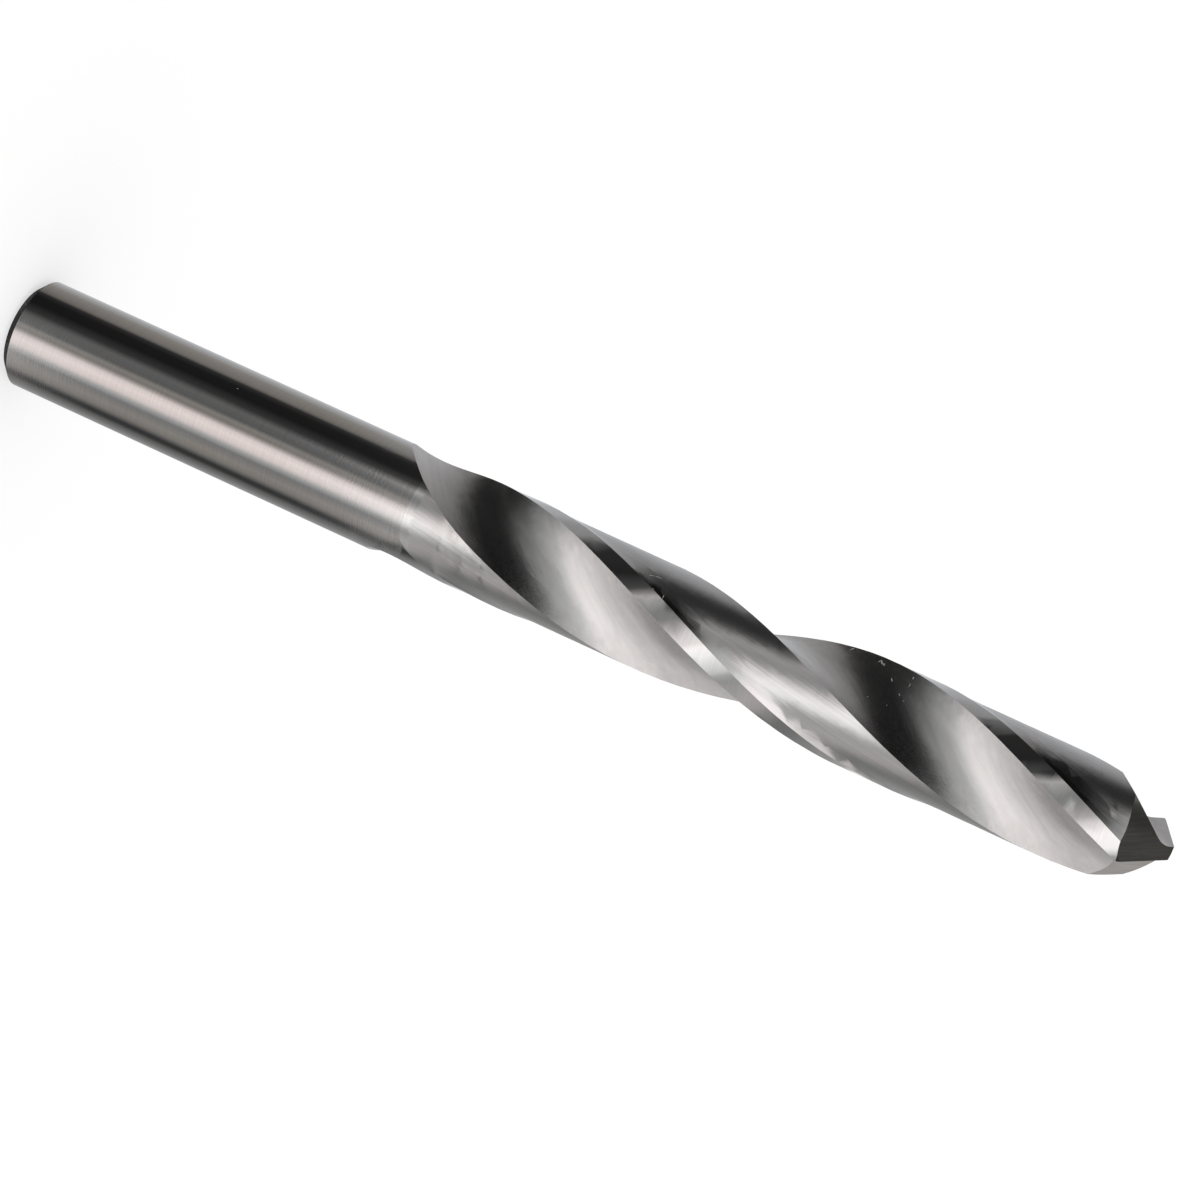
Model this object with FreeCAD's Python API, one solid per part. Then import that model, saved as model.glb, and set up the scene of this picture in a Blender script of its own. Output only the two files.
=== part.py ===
import FreeCAD, Part
import math
import os

# Solid twist drill ground from one round bar: plain shank, two right-hand flutes, split point
# Millimetres; the origin is the centre of the shank's end face and +Z runs along the axis to the point
# The two cutting lips lie parallel to the X axis

# Bar, with the fluted body tapering back from the point to the shank
diameter = 13.2
overall_length = 151.0
shank_length = 48.5
shank_diameter = 13.16
shank_chamfer = 1.1

# Flutes and lands
flute_length = 101.4
flute_lead = 103.2
web_diameter = 6.5
land_angle = 83.0

# Flute run-out, left by the grinding wheel as it lifts away
flute_wheel_radius = 37.6
runout_direction = 148.0
runout_widening = 2.3

# Margin and body clearance
margin_angle = 19.5
clearance_depth = 0.29
clearance_start = 5.2
clearance_wheel_radius = 25.0

# Point
point_angle = 118.0
corner_chamfer = 0.4
lip_relief = 10.75
relief_land = 1.86
heel_skew = 19.3
heel_radius = 9.8
thinned_web = 1.42

# Notch that thins the web behind each lip
notch_angle = 35.5
notch_heading = 52.0
notch_depth = 1.8
notch_corner_radius = 3.0

# Allowances of the cutting shapes outside the bar, and how finely they follow their curves
overcut = 3.0
land_overrun = 20.0
arc_overrun = 1.4
wheel_clear = 1.25
heel_turn = 80.0
wall_points = 3
runout_stations = 6
helix_stations = 16

radius = diameter / 2
shank_radius = shank_diameter / 2
web_radius = web_diameter / 2
lip_offset = thinned_web / 2
cone_slope = 1 / math.tan(math.radians(point_angle / 2))
relief_slope = math.tan(math.radians(lip_relief))
lip_origin_z = overall_length + relief_slope * lip_offset
lip_corner_x = math.sqrt(radius ** 2 - lip_offset ** 2)
lip_corner_z = lip_origin_z - cone_slope * lip_corner_x
flute_start = overall_length - flute_length
flute_middle = (land_angle + 180) / 2
tool_radius = radius + overcut
tool_span = 2 * tool_radius
tool_top = overall_length + 2 * overcut
Z_AXIS = FreeCAD.Vector(0, 0, 1)
ORIGIN = FreeCAD.Vector(0, 0, 0)


def lead_angle(z):
    """Angle, in degrees, of the first leading edge at height z."""
    at_corner = math.degrees(math.asin(lip_offset / radius))
    return at_corner + 360 * (z - lip_corner_z) / flute_lead


def polar(r, behind):
    """Point of a cross-section at radius r, so many degrees behind the leading edge."""
    angle = math.radians(-behind)
    return FreeCAD.Vector(r * math.cos(angle), r * math.sin(angle), 0)


def placed(wire, z):
    """A section wire turned with the helix and raised to height z."""
    turned = wire.copy()
    turned.rotate(ORIGIN, Z_AXIS, lead_angle(z))
    turned.translate(FreeCAD.Vector(0, 0, z))
    return turned


def both_sides(shape):
    """The shape and its copy on the other side of the axis."""
    other = shape.copy()
    other.rotate(ORIGIN, Z_AXIS, 180)
    return [shape, other]


def spread(start, stop, count):
    """Heights from start to stop, in so many even steps."""
    return [start + (stop - start) * i / count for i in range(count + 1)]


def bar():
    """Round bar with a back taper behind the point, and chamfers at the shank's end and the lips' corners."""
    shank = Part.makeCylinder(shank_radius, shank_length)
    rim = [edge for edge in shank.Edges if edge.BoundBox.ZMax < shank_chamfer]
    shank = shank.makeChamfer(shank_chamfer, rim)
    body_top = lip_corner_z - corner_chamfer * (1 - cone_slope)
    body = Part.makeCone(shank_radius, radius, body_top - shank_length, Z_AXIS * shank_length)
    end = Part.makeCone(radius, lip_offset, radius - lip_offset, Z_AXIS * body_top)
    whole = shank.fuse([body, end])
    whole.rotate(ORIGIN, Z_AXIS, lead_angle(lip_corner_z) - flute_middle)
    return whole


def flute_curve():
    """Points along the flute's wall, one arc that runs on past the heel and past the next leading edge."""
    half_mouth = math.radians((180 - land_angle) / 2)
    half_chord = radius * math.sin(half_mouth)
    depth = radius * math.cos(half_mouth) - web_radius
    arc_radius = (half_chord ** 2 + depth ** 2) / (2 * depth)
    end = arc_overrun * math.asin(half_chord / arc_radius)
    out = polar(1, flute_middle)
    side = FreeCAD.Vector(-out.y, out.x, 0)
    points = []
    for i in range(-wall_points, wall_points + 1):
        turn = end * i / wall_points
        height = web_radius + arc_radius * (1 - math.cos(turn))
        points.append(out * height + side * arc_radius * math.sin(turn))
    return points


def lifted(point, lift):
    """A point of the flute's wall where the wheel has lifted: moved out, and spread to the sides."""
    share = lift / (radius - web_radius)
    out = polar(1, runout_direction)
    side = FreeCAD.Vector(-out.y, out.x, 0)
    height = point.dot(out) + lift
    width = point.dot(side) * (1 + runout_widening * share)
    return out * height + side * width


def flute_section(z, lift):
    """Closed section of the flute cutter at height z."""
    points = [lifted(p, lift) for p in flute_curve()]
    wall = Part.BSplineCurve()
    wall.interpolate(points)
    outside = lifted(polar(tool_span, flute_middle), lift)
    edges = [
        wall,
        Part.LineSegment(points[-1], outside),
        Part.LineSegment(outside, points[0]),
    ]
    return placed(Part.Wire([edge.toShape() for edge in edges]), z)


def wheel_lift(distance, wheel_radius):
    """How far a wheel's rim has risen at a distance before its lowest point."""
    return wheel_radius - math.sqrt(wheel_radius ** 2 - distance ** 2)


def wheel_run(rise, wheel_radius):
    """Distance over which a wheel's rim rises by this much."""
    return math.sqrt(wheel_radius ** 2 - (wheel_radius - rise) ** 2)


def flute_cutter():
    """Helical cutter of one flute, with the wheel's run-out at the shank."""
    full_depth = radius - web_radius
    full_z = flute_start + wheel_run(full_depth, flute_wheel_radius)
    first_z = full_z - wheel_run(full_depth * wheel_clear, flute_wheel_radius)
    sections = []
    for z in spread(first_z, full_z, runout_stations)[:-1]:
        sections.append(flute_section(z, wheel_lift(full_z - z, flute_wheel_radius)))
    for z in spread(full_z, tool_top, helix_stations):
        sections.append(flute_section(z, 0))
    return Part.makeLoft(sections, True)


def clearance_section(z, lift):
    """Closed section of the body clearance cutter: a flat behind the margin that runs into a round floor."""
    full_floor = radius - clearance_depth
    floor = full_floor + lift
    foot_angle = margin_angle + math.degrees(math.acos(full_floor / radius))
    end_angle = land_angle + land_overrun
    middle = (foot_angle + end_angle) / 2
    foot = polar(floor, foot_angle)
    brow = foot + polar(tool_radius, foot_angle - 90)
    edges = [
        Part.LineSegment(brow, foot),
        Part.Arc(foot, polar(floor, middle), polar(floor, end_angle)),
        Part.LineSegment(polar(floor, end_angle), polar(tool_span, end_angle)),
        Part.LineSegment(polar(tool_span, end_angle), polar(tool_span, foot_angle)),
        Part.LineSegment(polar(tool_span, foot_angle), brow),
    ]
    return placed(Part.Wire([edge.toShape() for edge in edges]), z)


def clearance_cutter():
    """Helical cutter that grinds the land back behind its margin."""
    run = wheel_run(clearance_depth, clearance_wheel_radius)
    full_z = flute_start + clearance_start + run
    first_z = full_z - wheel_run(clearance_depth * wheel_clear, clearance_wheel_radius)
    sections = []
    for z in spread(first_z, full_z, runout_stations)[:-1]:
        sections.append(clearance_section(z, wheel_lift(full_z - z, clearance_wheel_radius)))
    for z in spread(full_z, tool_top, helix_stations):
        sections.append(clearance_section(z, 0))
    return Part.makeLoft(sections, True)


def flank_cutter():
    """Block above the first lip's flank: a flat relief, and a round heel that starts sooner towards the axis."""
    turn_start = math.radians(lip_relief)
    turn_end = math.radians(heel_turn)

    def on_relief(behind):
        return FreeCAD.Vector(lip_corner_x, lip_offset - behind, lip_corner_z - relief_slope * behind)

    def on_heel(turn):
        y = heel_start.y - heel_radius * (math.sin(turn) - math.sin(turn_start))
        z = heel_start.z - heel_radius * (math.cos(turn_start) - math.cos(turn))
        return FreeCAD.Vector(lip_corner_x, y, z)

    front = on_relief(-tool_span)
    heel_start = on_relief(relief_land)
    heel_end = on_heel(turn_end)
    back_top = FreeCAD.Vector(lip_corner_x, heel_end.y, tool_top)
    front_top = FreeCAD.Vector(lip_corner_x, front.y, tool_top)
    edges = [
        Part.LineSegment(front, heel_start),
        Part.Arc(heel_start, on_heel((turn_start + turn_end) / 2), heel_end),
        Part.LineSegment(heel_end, back_top),
        Part.LineSegment(back_top, front_top),
        Part.LineSegment(front_top, front),
    ]
    face = Part.Face(Part.Wire([edge.toShape() for edge in edges]))
    skew = math.tan(math.radians(heel_skew))
    run = FreeCAD.Vector(1, -skew, -cone_slope - relief_slope * skew)
    face.translate(run * overcut)
    return face.extrude(run * -tool_span)


def notch_cutter():
    """Wedge that thins the web ahead of the second lip and relieves the first land's heel."""
    slope = math.tan(math.radians(90 - notch_angle))
    heading = math.radians(notch_heading)

    def on_floor(x, out):
        rise = slope * (x * math.cos(heading) - out * math.sin(heading))
        return FreeCAD.Vector(x, -lip_offset - out, overall_length - notch_depth + rise)

    root = on_floor(-tool_span, 0)
    outer = on_floor(-tool_span, tool_span)
    outer_top = FreeCAD.Vector(outer.x, outer.y, tool_top)
    wall_top = FreeCAD.Vector(root.x, root.y, tool_top)
    face = Part.Face(Part.makePolygon([root, outer, outer_top, wall_top, root]))
    run = on_floor(tool_span, 0) - root
    wedge = face.extrude(run)
    corner = [edge for edge in wedge.Edges if on_line(edge, [root, root + run])]
    return wedge.makeFillet(notch_corner_radius, corner)


def on_line(edge, ends):
    """Whether an edge joins the two given points."""
    found = {tuple(round(c, 3) for c in v.Point) for v in edge.Vertexes}
    return found == {tuple(round(c, 3) for c in p) for p in ends}


def drill_bit():
    """The whole drill, cut from the bar."""
    body = bar()
    tools = both_sides(clearance_cutter())
    tools += both_sides(flute_cutter())
    tools += both_sides(flank_cutter())
    tools += both_sides(notch_cutter())
    for tool in tools:
        body = body.cut(tool)
    return body


os.makedirs("parts", exist_ok=True)
drill_bit().exportStep("parts/drill_bit.step")
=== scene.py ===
import math

import bpy
from mathutils import Matrix, Vector

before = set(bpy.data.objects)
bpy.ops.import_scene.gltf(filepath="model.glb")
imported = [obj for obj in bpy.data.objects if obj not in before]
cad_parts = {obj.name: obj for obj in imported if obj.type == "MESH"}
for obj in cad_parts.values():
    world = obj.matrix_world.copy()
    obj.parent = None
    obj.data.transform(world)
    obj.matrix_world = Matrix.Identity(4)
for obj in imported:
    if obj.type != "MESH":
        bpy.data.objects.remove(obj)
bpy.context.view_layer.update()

# Camera as in the photograph: a long lens, high and to one side of the standing drill, and rolled over
CAMERA_AT = Vector((0.64943, -0.28985, 0.33079))
CAMERA_RIGHT = Vector((-0.44799, -0.25644, 0.85647))
CAMERA_DOWN = Vector((0.24403, 0.88653, 0.39309))
FOCAL_PIXELS = 6669.2
PHOTO_PIXELS = 1200
SENSOR_WIDTH = 36.0
NEAREST_SEEN = 0.01
FARTHEST_SEEN = 100.0

# Floor: its size in metres, its grey, and how much the camera sees it lifted towards white
FLOOR_SIZE = 12.0
FLOOR_GREY = 0.5
FLOOR_LIFT = 0.52

# Heights and radii that tell the surfaces of the drill apart, in metres, and how wide each blend is
SHANK_TOP = 0.0450
CLEARANCE_TOP = 0.0590
POINT_BASE = 0.1390
LAND_RADIUS = 0.0062
MARGIN_RADIUS = 0.00643
HEIGHT_BLEND = 0.0005
CLEARANCE_BLEND = 0.001
LAND_BLEND = 0.00003
MARGIN_BLEND = 0.00005

# How much the shading leans towards straight out where the body clearance starts
STRAIGHT_OUT_SHARE = 0.85

# How nearly a surface faces straight out where a flute begins, and straight up where the point begins:
# cosines that each blend runs between
FLUTE_FACING = (0.945, 0.935)
POINT_FACING = (0.45, 0.5)

# Grinding marks: leads of the helices that they follow, in metres, and how closely they lie across and along
FLUTE_MARK_LEAD = 0.024
LAND_MARK_LEAD = 0.204
HELIX_GRID = (1000, 1000, 12)
RING_GRID = (30, 30, 1000)
LIP_GRID = (12, 1000, 40)

# Depth of the marks, as shares of the bump's distance in metres
BUMP_DISTANCE = 0.0002
WIDE_STREAK_DEPTH = 0.12
FINE_STREAK_DEPTH = 0.05
LAND_STREAK_DEPTH = 0.055
RING_DEPTH = 0.004
POINT_MARK_DEPTH = 0.03
GRAIN_DEPTH = 0.006

# Finish of each surface. What the flutes mirror is blurred along the drill, a quarter turn from the lands
FLUTE_ROUGHNESS = 0.26
LAND_ROUGHNESS = 0.15
POLISHED_ROUGHNESS = 0.055
POINT_ROUGHNESS = 0.24
MARK_ROUGHNESS = 0.6
CLOUD_ROUGHNESS = 0.05
FLUTE_BLUR_TURN = 0.25

# Colours of the carbide, in dark and pale streaks, and of what lies on it, with the parts of the noise
# that each blend runs between
METAL_DARK = (0.61, 0.60, 0.595, 1)
METAL_PALE = (0.67, 0.66, 0.655, 1)
METAL_TONES = (0.25, 0.75)
POINT_DARK = (0.40, 0.395, 0.385, 1)
POINT_PALE = (0.55, 0.54, 0.52, 1)
POINT_TONES = (0.3, 0.7)
STAIN_COLOUR = (0.50, 0.40, 0.30, 1)
STAIN_TONES = (0.55, 0.68)
STAIN_SHARE = 0.4
MARK_COLOUR = (0.36, 0.36, 0.35, 1)

# Lint and small nicks that show pale in the photograph: height in millimetres, angle round the drill
# in degrees, lean away from upright in degrees, half length in millimetres
# A program worked these numbers out from strokes picked in the photograph
MARKS = [
    (29.3, -60, 0, 0.12),
    (84.4, -64, 25, 0.38),
    (85.2, -66, 2, 0.46),
    (85.6, -49, 0, 0.10),
    (86.8, -39, 38, 0.26),
    (87.1, -42, 65, 0.21),
    (87.1, -46, 104, 0.33),
    (107.3, -132, 3, 0.18),
    (111.3, -117, -3, 0.12),
    (111.6, -116, -35, 0.30),
    (112.0, -114, -31, 0.20),
    (112.7, -57, 84, 0.12),
    (113.9, -101, -42, 0.22),
    (115.1, -58, 9, 0.10),
    (115.7, -85, -34, 0.16),
    (116.2, -96, 95, 0.12),
    (116.2, -100, -32, 0.10),
    (116.5, -78, 87, 0.08),
]
# Each mark is a long thin shape across the surface: its half width, and the middle and half of its reach from
# the axis, in millimetres, then how ragged its rim is and where the rim fades, in parts of these sizes
MARK_HALF_WIDTH = 0.045
MARK_RADIUS = 5.0
MARK_REACH = 4.0
MARK_RAGGEDNESS = 0.8
MARK_RIM = (1.5, 1.0)
MILLIMETRE = 0.001

# Tints of the studio's strips
COOL = (0.98, 1.0, 1.04)
PLAIN = (0.99, 1.0, 1.0)
ROSE = (1.035, 1.0, 0.995)
WARM = (1.06, 1.0, 0.93)
PINK = (1.11, 1.0, 0.97)

# Upright strips of the studio round the drill: degrees from the camera, brightness, tint
# They aren't a free design: they were read off the photograph's own colours, sorted by the direction that
# the metal mirrors, and then adjusted against those colours
# What the shank mirrors
SHANK_STRIPS = [
    (-180, 0.62, COOL),
    (-160, 0.60, COOL),
    (-135, 0.43, PLAIN),
    (-122, 0.30, WARM),
    (-98, 0.23, WARM),
    (-93, 0.18, WARM),
    (-88, 0.040, PLAIN),
    (-76, 0.016, PLAIN),
    (-58, 0.014, PLAIN),
    (-39, 0.048, PLAIN),
    (-27, 0.162, PLAIN),
    (-11, 0.135, PLAIN),
    (-4, 0.29, WARM),
    (4, 0.25, WARM),
    (9, 0.48, PINK),
    (15, 0.90, PINK),
    (24, 1.03, PINK),
    (37, 0.88, PINK),
    (46, 0.52, PLAIN),
    (56, 0.25, PLAIN),
    (75, 0.32, WARM),
    (89, 0.26, WARM),
    (98, 0.13, PLAIN),
    (104, 0.052, PLAIN),
    (113, 0.052, PLAIN),
    (123, 0.155, PLAIN),
    (147, 0.31, PLAIN),
    (162, 0.37, PLAIN),
    (173, 0.55, PLAIN),
]
# What the lands mirror, a little higher up
LAND_STRIPS = [
    (-180, 0.95, COOL),
    (-168, 0.66, COOL),
    (-148, 0.56, COOL),
    (-104, 0.34, PLAIN),
    (-97, 0.20, PLAIN),
    (-90, 0.10, PLAIN),
    (-82, 0.032, PLAIN),
    (-53, 0.024, PLAIN),
    (-41, 0.10, PLAIN),
    (-34, 0.32, ROSE),
    (-28, 0.56, ROSE),
    (-22, 0.43, PLAIN),
    (-16, 0.31, PLAIN),
    (-8, 0.31, PLAIN),
    (-2, 0.43, ROSE),
    (4, 0.62, ROSE),
    (10, 0.96, ROSE),
    (17, 1.16, ROSE),
    (23, 1.46, ROSE),
    (34, 1.36, PLAIN),
    (43, 0.97, PLAIN),
    (50, 0.55, PLAIN),
    (57, 0.43, PLAIN),
    (76, 0.54, ROSE),
    (88, 0.46, ROSE),
    (104, 0.23, PLAIN),
    (114, 0.23, PLAIN),
    (140, 0.35, PLAIN),
    (162, 0.41, PLAIN),
    (171, 0.80, PLAIN),
]
# What the flutes mirror, above and below both
FLUTE_STRIPS = [
    (-180, 0.48, COOL),
    (-155, 0.47, PLAIN),
    (-138, 0.39, ROSE),
    (-122, 0.29, ROSE),
    (-108, 0.19, ROSE),
    (-103, 0.065, ROSE),
    (-98, 0.018, ROSE),
    (-90, 0.008, PLAIN),
    (-72, 0.007, PLAIN),
    (-52, 0.009, PLAIN),
    (-38, 0.045, PLAIN),
    (-27, 0.15, PLAIN),
    (-18, 0.41, PLAIN),
    (-9, 0.60, PLAIN),
    (5, 0.73, PLAIN),
    (15, 1.0, PLAIN),
    (26, 1.28, ROSE),
    (35, 1.38, ROSE),
    (46, 1.38, ROSE),
    (60, 1.26, ROSE),
    (76, 0.96, ROSE),
    (105, 0.84, ROSE),
    (130, 0.66, ROSE),
    (155, 0.48, ROSE),
]

# Degrees above the horizon between which one part of the studio turns into the next
SHANK_TO_LANDS = (-22.2, -20.8)
SHANK_TO_FLUTES = (-24.3, -27.3)
LANDS_TO_FLUTES = (-14.0, -11.0)
GAP_DOWN_FROM = (-27.0, -31.0)
TABLE_DOWN_FROM = (-42.0, -50.0)
FLOOR_LIGHT_DOWN_FROM = (-64.0, -78.0)
CEILING_UP_FROM = (27.0, 46.0)
TOP_LIGHT_UP_FROM = (60.0, 80.0)
# Degrees to either side of the camera between which the table, and the gap beyond it, begin
TABLE_BEGINS = (105, 120)
GAP_BEGINS = (156, 163)
# Away from the level of the lands the strips that the flutes mirror lean over, where they stand between
# these degrees from the camera, fading in from the left and from the right
LEAN_FROM_LEFT = (-80, -40)
LEAN_FROM_RIGHT = (150, 80)
# How many degrees they are shifted, and how bright all strips are, at so many degrees above the horizon
LEAN = [(-58, -26), (-47, -18), (-28, 0), (-12, 0), (8, 6), (25, 12)]
BRIGHTNESS = [(-60, 0.40), (-34, 1.0)]

FLOOR_LIGHT_COLOUR = (0.22, 0.217, 0.21, 1)
TABLE_COLOUR = (0.62, 0.615, 0.60, 1)
GAP_COLOUR = (0.030, 0.030, 0.031, 1)
CEILING_COLOUR = (0.032, 0.032, 0.030, 1)
TOP_LIGHT_COLOUR = (0.085, 0.083, 0.078, 1)
WHITE = (1, 1, 1, 1)


def make_camera():
    """The photograph's camera."""
    data = bpy.data.cameras.new("photo_camera")
    data.sensor_width = SENSOR_WIDTH
    data.lens = SENSOR_WIDTH * FOCAL_PIXELS / PHOTO_PIXELS
    data.clip_start = NEAREST_SEEN
    data.clip_end = FARTHEST_SEEN
    camera = bpy.data.objects.new("photo_camera", data)
    right = CAMERA_RIGHT.normalized()
    up = -CAMERA_DOWN.normalized()
    back = right.cross(up)
    camera.matrix_world = Matrix.Translation(CAMERA_AT) @ Matrix((right, up, back)).transposed().to_4x4()
    bpy.context.scene.collection.objects.link(camera)
    bpy.context.scene.camera = camera
    bpy.context.scene.view_settings.view_transform = "Standard"


class Nodes:
    """Small helper that adds and links shader nodes."""

    def __init__(self, tree):
        self.tree = tree
        tree.nodes.clear()

    def add(self, kind, inputs=None, **settings):
        """New node, with its settings made and its inputs set or linked."""
        node = self.tree.nodes.new(kind)
        for name, value in settings.items():
            setattr(node, name, value)
        for key, value in (inputs or {}).items():
            self.set(node, key, value)
        return node

    def set(self, node, key, value):
        """Link an input to a node's first output or to a socket, or give it a plain value."""
        socket = node.inputs[key]
        if isinstance(value, bpy.types.Node):
            value = value.outputs[0]
        if isinstance(value, bpy.types.NodeSocket):
            self.tree.links.new(value, socket)
        else:
            socket.default_value = value

    def math(self, operation, a, b=0.0, c=0.0):
        """Result of one sum on up to three numbers."""
        return self.add("ShaderNodeMath", {0: a, 1: b, 2: c}, operation=operation).outputs[0]

    def ramp(self, value, stops):
        """Colour ramp over 0 to 1."""
        node = self.add("ShaderNodeValToRGB", {0: value})
        elements = node.color_ramp.elements
        while len(elements) < len(stops):
            elements.new(0.5)
        for element, (at, colour) in zip(elements, stops):
            element.position = at
            element.color = (*colour, 1.0)
        return node.outputs[0]

    def step(self, value, low, high, end=1.0):
        """Smooth step of a value, from 0 at low to the end value at high."""
        node = self.add("ShaderNodeMapRange", {0: value, 1: low, 2: high, 3: 0.0, 4: end})
        node.interpolation_type = "SMOOTHSTEP"
        return node.outputs[0]

    def curve(self, value, points):
        """Piecewise straight function of a value, given as (value, result) points."""
        result = points[0][1]
        for (x0, y0), (x1, y1) in zip(points, points[1:]):
            rise = self.add("ShaderNodeMapRange", {0: value, 1: x0, 2: x1, 3: 0.0, 4: y1 - y0})
            result = self.math("ADD", rise.outputs[0], result)
        return result

    def mix(self, factor, a, b):
        """Blend of two colours."""
        node = self.add("ShaderNodeMix", data_type="RGBA")
        self.set(node, 0, factor)
        self.set(node, 6, a)
        self.set(node, 7, b)
        return node.outputs[2]

    def blend(self, factor, a, b):
        """Blend of two numbers."""
        node = self.add("ShaderNodeMix", {0: factor, 2: a, 3: b}, data_type="FLOAT")
        return node.outputs[0]

    def blend_vectors(self, factor, a, b):
        """Blend of two vectors."""
        node = self.add("ShaderNodeMix", data_type="VECTOR")
        self.set(node, 0, factor)
        self.set(node, 4, a)
        self.set(node, 5, b)
        return node.outputs[1]

    def scaled(self, vector, scale):
        """Vector with each of its parts scaled."""
        return self.add("ShaderNodeVectorMath", {0: vector, 1: scale}, operation="MULTIPLY").outputs[0]

    def noise(self, vector, scale, detail, roughness=0.5):
        """Noise between 0 and 1 over a place."""
        inputs = {"Vector": vector, "Scale": scale, "Detail": detail, "Roughness": roughness}
        return self.add("ShaderNodeTexNoise", inputs).outputs[0]


def share(degrees):
    """Share of a full turn, with the camera at the middle."""
    return 0.5 + degrees / 360


def strips(n, turn, levels):
    """Upright strips round the drill, by the share of a full turn."""
    stops = [(share(angle), tuple(level * t for t in tint)) for angle, level, tint in levels]
    first = stops[0][1]
    return n.ramp(turn, stops + [(1.0, first)])


def strip_bands(n, turned, elevation):
    """The three rings of strips, which lean over in part and grow dimmer towards the floor."""
    from_left = n.step(turned, share(LEAN_FROM_LEFT[0]), share(LEAN_FROM_LEFT[1]))
    from_right = n.step(turned, share(LEAN_FROM_RIGHT[0]), share(LEAN_FROM_RIGHT[1]))
    leaning = n.math("MULTIPLY", from_left, from_right)
    lean = n.math("MULTIPLY", n.curve(elevation, LEAN), leaning)
    leant = n.math("MULTIPLY_ADD", lean, 1 / 360, turned)
    on_lands = n.step(elevation, *SHANK_TO_LANDS)
    level = n.mix(on_lands, strips(n, turned, SHANK_STRIPS), strips(n, turned, LAND_STRIPS))
    off_level = n.math("MAXIMUM", n.step(elevation, *SHANK_TO_FLUTES), n.step(elevation, *LANDS_TO_FLUTES))
    bands = n.mix(off_level, level, strips(n, leant, FLUTE_STRIPS))
    brightness = n.curve(elevation, BRIGHTNESS)
    return n.add("ShaderNodeVectorMath", {0: bands, "Scale": brightness}, operation="SCALE").outputs[0]


def surroundings(n, turned, elevation, bands):
    """The strips with what lies below and above them.

    Below are a faint light, a pale table behind to the left and right, and a dark gap straight behind the
    drill, which the chamfer of the shank's end mirrors. Above is a dark ceiling with a little light.
    """
    aside = n.math("ABSOLUTE", n.math("SUBTRACT", turned, share(0)))
    table = n.step(aside, TABLE_BEGINS[0] / 360, TABLE_BEGINS[1] / 360)
    table = n.math("MULTIPLY", table, n.step(elevation, *TABLE_DOWN_FROM))
    gap = n.step(aside, GAP_BEGINS[0] / 360, GAP_BEGINS[1] / 360)
    gap = n.math("MULTIPLY", gap, n.step(elevation, *GAP_DOWN_FROM))
    bands = n.mix(n.step(elevation, *FLOOR_LIGHT_DOWN_FROM), bands, FLOOR_LIGHT_COLOUR)
    bands = n.mix(table, bands, TABLE_COLOUR)
    bands = n.mix(gap, bands, GAP_COLOUR)
    bands = n.mix(n.step(elevation, *CEILING_UP_FROM), bands, CEILING_COLOUR)
    return n.mix(n.step(elevation, *TOP_LIGHT_UP_FROM), bands, TOP_LIGHT_COLOUR)


def make_world():
    """Studio of light and dark that the metal mirrors, and plain white for the camera and the floor."""
    world = bpy.data.worlds.new("studio")
    bpy.context.scene.world = world
    world.use_nodes = True
    n = Nodes(world.node_tree)
    direction = n.add("ShaderNodeTexCoord").outputs["Generated"]
    parts = n.add("ShaderNodeSeparateXYZ", {0: direction})
    azimuth = n.math("ARCTAN2", parts.outputs["Y"], parts.outputs["X"])
    camera_azimuth = math.atan2(CAMERA_AT.y, CAMERA_AT.x)
    elevation = n.math("MULTIPLY", n.math("ARCSINE", parts.outputs["Z"]), 180 / math.pi)
    turned = n.math("MULTIPLY_ADD", n.math("SUBTRACT", azimuth, camera_azimuth), 0.5 / math.pi, share(0))
    turned = n.math("FRACT", turned)
    bands = surroundings(n, turned, elevation, strip_bands(n, turned, elevation))
    glossy_ray = n.add("ShaderNodeLightPath").outputs["Is Glossy Ray"]
    studio = n.add("ShaderNodeBackground", {"Color": bands, "Strength": 1.0})
    white = n.add("ShaderNodeBackground", {"Color": WHITE, "Strength": 1.0})
    mixed = n.add("ShaderNodeMixShader", {0: glossy_ray, 1: white, 2: studio})
    n.add("ShaderNodeOutputWorld", {"Surface": mixed.outputs[0]})


def make_floor():
    """Pale floor that is white for the camera and keeps a faint shade where the drill stands."""
    half = FLOOR_SIZE / 2
    corners = [(-half, -half, 0), (half, -half, 0), (half, half, 0), (-half, half, 0)]
    mesh = bpy.data.meshes.new("floor")
    mesh.from_pydata(corners, [], [(0, 1, 2, 3)])
    floor = bpy.data.objects.new("floor", mesh)
    bpy.context.scene.collection.objects.link(floor)
    floor.visible_glossy = False
    material = bpy.data.materials.new("floor")
    material.use_nodes = True
    n = Nodes(material.node_tree)
    camera_ray = n.add("ShaderNodeLightPath").outputs["Is Camera Ray"]
    base = n.add("ShaderNodeBsdfDiffuse", {"Color": (FLOOR_GREY, FLOOR_GREY, FLOOR_GREY, 1)})
    strength = n.math("MULTIPLY", camera_ray, FLOOR_LIFT)
    lift = n.add("ShaderNodeEmission", {"Color": WHITE, "Strength": strength})
    both = n.add("ShaderNodeAddShader", {0: base.outputs[0], 1: lift.outputs[0]})
    n.add("ShaderNodeOutputMaterial", {"Surface": both.outputs[0]})
    mesh.materials.append(material)


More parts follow.
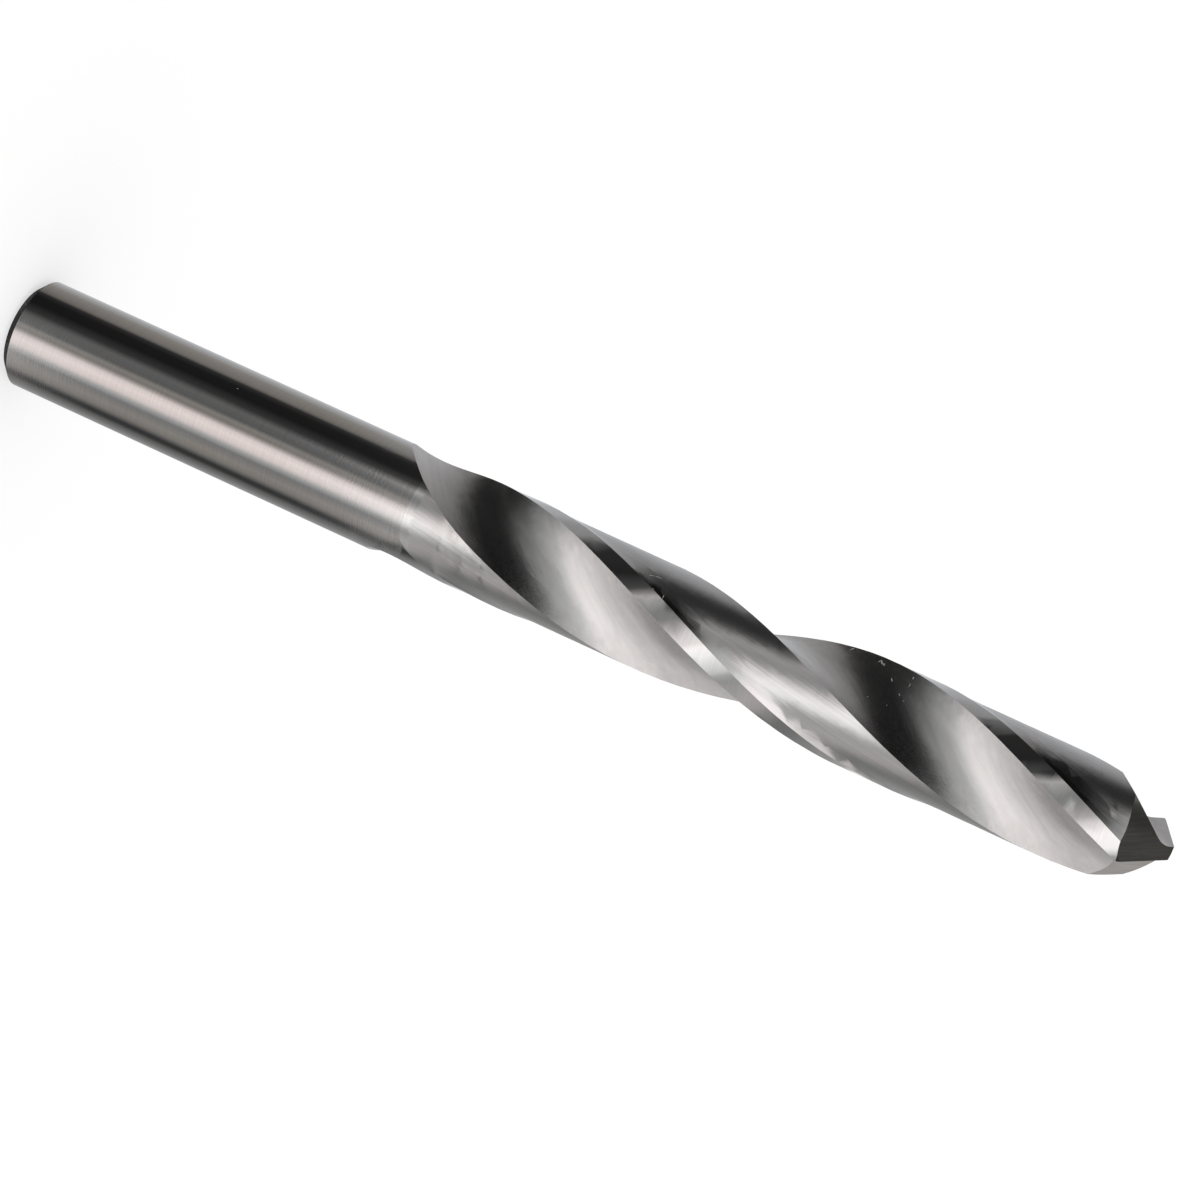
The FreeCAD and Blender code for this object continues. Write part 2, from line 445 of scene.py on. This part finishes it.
def surface_masks(n, position, smooth):
    """Masks of the flutes, of the polished shank and margins, and of the point."""
    x, y, z = n.add("ShaderNodeSeparateXYZ", {0: position}).outputs
    normal_x, normal_y, facing_up = n.add("ShaderNodeSeparateXYZ", {0: smooth}).outputs
    radius = n.math("SQRT", n.math("ADD", n.math("MULTIPLY", x, x), n.math("MULTIPLY", y, y)))
    outward = n.math("ADD", n.math("MULTIPLY", normal_x, x), n.math("MULTIPLY", normal_y, y))
    outward = n.math("DIVIDE", outward, radius)
    deep = n.step(radius, LAND_RADIUS + LAND_BLEND, LAND_RADIUS)
    flute = n.math("MAXIMUM", deep, n.step(outward, *FLUTE_FACING))
    flute = n.math("MULTIPLY", flute, n.step(z, SHANK_TOP, SHANK_TOP + HEIGHT_BLEND))
    polished = n.step(radius, MARGIN_RADIUS, MARGIN_RADIUS + MARGIN_BLEND)
    polished = n.math("MULTIPLY", polished, n.math("SUBTRACT", 1.0, flute))
    near_point = n.step(z, POINT_BASE, POINT_BASE + HEIGHT_BLEND)
    point = n.math("MULTIPLY", n.step(facing_up, *POINT_FACING), near_point)
    return flute, polished, point


def pale_marks(n, position):
    """Mask of the lint and nicks, each a short stroke on the surface, ragged at its rim."""
    ragged = n.math("MULTIPLY", n.noise(position, scale=9000.0, detail=2.0), MARK_RAGGEDNESS)
    mask = 0.0
    for height, angle, lean, half_length in MARKS:
        turn = math.radians(angle)
        place = Vector((MARK_RADIUS * math.cos(turn), MARK_RADIUS * math.sin(turn), height)) * MILLIMETRE
        size = Vector((MARK_REACH, MARK_HALF_WIDTH, half_length)) * MILLIMETRE
        local = n.add("ShaderNodeMapping", {
            "Vector": position,
            "Location": place,
            "Rotation": (math.radians(lean), 0.0, turn),
            "Scale": size,
        }, vector_type="TEXTURE")
        away = n.add("ShaderNodeVectorMath", {0: local}, operation="LENGTH").outputs["Value"]
        mask = n.math("MAXIMUM", n.step(n.math("ADD", away, ragged), *MARK_RIM), mask)
    return mask


def helix_grid(n, position, lead):
    """Place in a grid that turns with a helix of this lead, drawn out along it."""
    height = n.add("ShaderNodeSeparateXYZ", {0: position}).outputs["Z"]
    turn = n.math("MULTIPLY", height, -2 * math.pi / lead)
    unwound = n.add("ShaderNodeVectorRotate", {"Vector": position, "Angle": turn}, rotation_type="Z_AXIS")
    return n.scaled(unwound, HELIX_GRID)


def bumped(n, height, grain, normal):
    """Normal of a surface with marks of this height and the metal's fine grain."""
    height = n.math("MULTIPLY_ADD", grain, GRAIN_DEPTH, height)
    inputs = {"Strength": 1.0, "Distance": BUMP_DISTANCE, "Height": height, "Normal": normal}
    return n.add("ShaderNodeBump", inputs).outputs[0]


def softened_normal(n, position, normal):
    """Normal that leans towards straight out where the body clearance starts, to keep its step faint."""
    z = n.add("ShaderNodeSeparateXYZ", {0: position}).outputs["Z"]
    across = n.scaled(position, (1, 1, 0))
    straight_out = n.add("ShaderNodeVectorMath", {0: across}, operation="NORMALIZE").outputs[0]
    near_start = n.step(z, CLEARANCE_TOP + CLEARANCE_BLEND, CLEARANCE_TOP, STRAIGHT_OUT_SHARE)
    near_start = n.math("MULTIPLY", near_start, n.step(z, SHANK_TOP, SHANK_TOP + HEIGHT_BLEND))
    return n.blend_vectors(near_start, normal, straight_out)


def carbide():
    """Ground tungsten carbide: polished shank and margins, streaked lands and flutes, and a matt point."""
    material = bpy.data.materials.new("ground_carbide")
    material.use_nodes = True
    n = Nodes(material.node_tree)
    geometry = n.add("ShaderNodeNewGeometry")
    position = geometry.outputs["Position"]
    smooth = geometry.outputs["Normal"]
    softened = softened_normal(n, position, smooth)
    flute, polished, point = surface_masks(n, position, smooth)
    mark = pale_marks(n, position)

    flute_grid = helix_grid(n, position, FLUTE_MARK_LEAD)
    wide_streaks = n.noise(flute_grid, scale=0.8, detail=3.0, roughness=0.6)
    fine_streaks = n.noise(flute_grid, scale=6.0, detail=3.0, roughness=0.7)
    land_streaks = n.noise(helix_grid(n, position, LAND_MARK_LEAD), scale=3.0, detail=4.0, roughness=0.6)
    rings = n.noise(n.scaled(position, RING_GRID), scale=9.0, detail=3.0, roughness=0.6)
    point_marks = n.noise(n.scaled(position, LIP_GRID), scale=6.0, detail=4.0, roughness=0.7)
    clouds = n.noise(position, scale=350.0, detail=3.0, roughness=0.6)
    grain = n.noise(position, scale=4500.0, detail=2.0, roughness=0.6)

    wide_height = n.math("MULTIPLY", wide_streaks, WIDE_STREAK_DEPTH)
    flute_height = n.math("ADD", wide_height, n.math("MULTIPLY", fine_streaks, FINE_STREAK_DEPTH))
    flute_bump = bumped(n, flute_height, grain, smooth)
    land_bump = bumped(n, n.math("MULTIPLY", land_streaks, LAND_STREAK_DEPTH), grain, softened)
    polish_bump = bumped(n, n.math("MULTIPLY", rings, RING_DEPTH), grain, softened)
    point_bump = bumped(n, n.math("MULTIPLY", point_marks, POINT_MARK_DEPTH), grain, smooth)
    normal = n.blend_vectors(flute, n.blend_vectors(polished, land_bump, polish_bump), flute_bump)
    normal = n.blend_vectors(point, normal, point_bump)

    roughness = n.blend(flute, n.blend(polished, LAND_ROUGHNESS, POLISHED_ROUGHNESS), FLUTE_ROUGHNESS)
    roughness = n.blend(point, roughness, POINT_ROUGHNESS)
    least_rough = n.math("SUBTRACT", roughness, CLOUD_ROUGHNESS / 2)
    roughness = n.math("MULTIPLY_ADD", clouds, CLOUD_ROUGHNESS, least_rough)
    roughness = n.blend(mark, roughness, MARK_ROUGHNESS)

    tone = n.blend(flute, n.blend(polished, land_streaks, rings), wide_streaks)
    colour = n.mix(n.step(tone, *METAL_TONES), METAL_DARK, METAL_PALE)
    point_colour = n.mix(n.step(point_marks, *POINT_TONES), POINT_DARK, POINT_PALE)
    stain = n.math("MULTIPLY", n.step(clouds, *STAIN_TONES), STAIN_SHARE)
    point_colour = n.mix(stain, point_colour, STAIN_COLOUR)
    colour = n.mix(point, colour, point_colour)
    colour = n.mix(mark, colour, MARK_COLOUR)

    bsdf = n.add("ShaderNodeBsdfPrincipled", {
        "Base Color": colour,
        "Metallic": n.math("SUBTRACT", 1.0, mark),
        "Roughness": roughness,
        "Anisotropic": n.blend(point, n.blend(polished, 1.0, 0.0), 0.0),
        "Anisotropic Rotation": n.math("MULTIPLY", flute, FLUTE_BLUR_TURN),
        "Tangent": n.add("ShaderNodeTangent", direction_type="RADIAL", axis="Z"),
        "Normal": normal,
    })
    n.add("ShaderNodeOutputMaterial", {"Surface": bsdf.outputs[0]})
    return material


make_camera()
make_world()
make_floor()
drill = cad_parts["drill_bit"]
drill.data.materials[0] = carbide()
